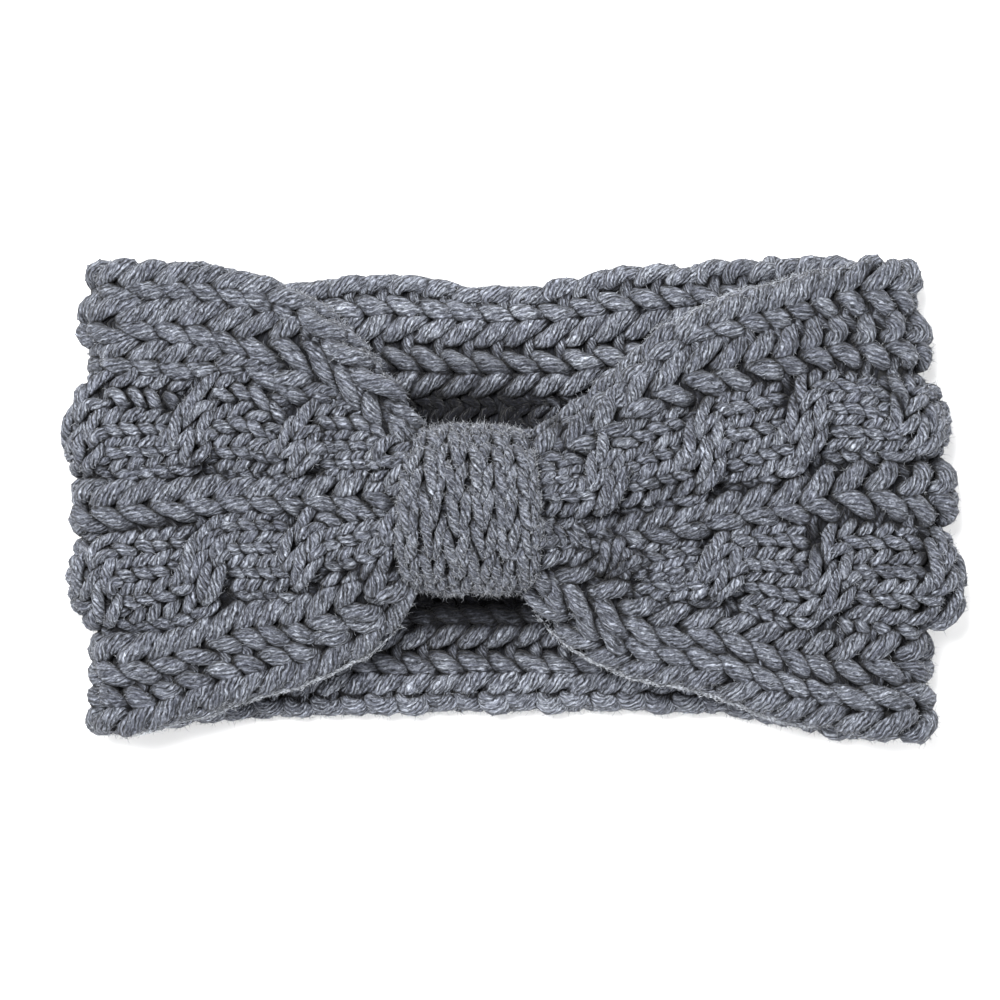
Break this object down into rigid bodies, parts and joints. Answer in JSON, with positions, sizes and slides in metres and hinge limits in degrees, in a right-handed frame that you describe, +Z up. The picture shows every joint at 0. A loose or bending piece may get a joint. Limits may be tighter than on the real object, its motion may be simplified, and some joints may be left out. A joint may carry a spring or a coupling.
{
  "type": "ear warmer headband",
  "caption": "Wide cable-knit loop for the head and ears, folded flat, with ribs, rope cables and a gathered front held by a narrow knitted wrap.",
  "frame": {"origin": "under the middle of the flat-lying headband, on the surface that it lies on", "axes": "+X along the folded loop from fold to fold, +Y across the band towards its top edge, +Z up through the two layers to the knot"},
  "size_m": [0.2298, 0.124, 0.0432],
  "materials": {
    "band_yarn": "soft heather grey plied yarn, matte, lightly fuzzy",
    "wrap_yarn": "soft heather grey plied yarn, matte, lightly fuzzy"
  },
  "bodies": {
    "root": {"knit_band": "band_yarn", "center_wrap": "wrap_yarn"}
  },
  "joints": []
}
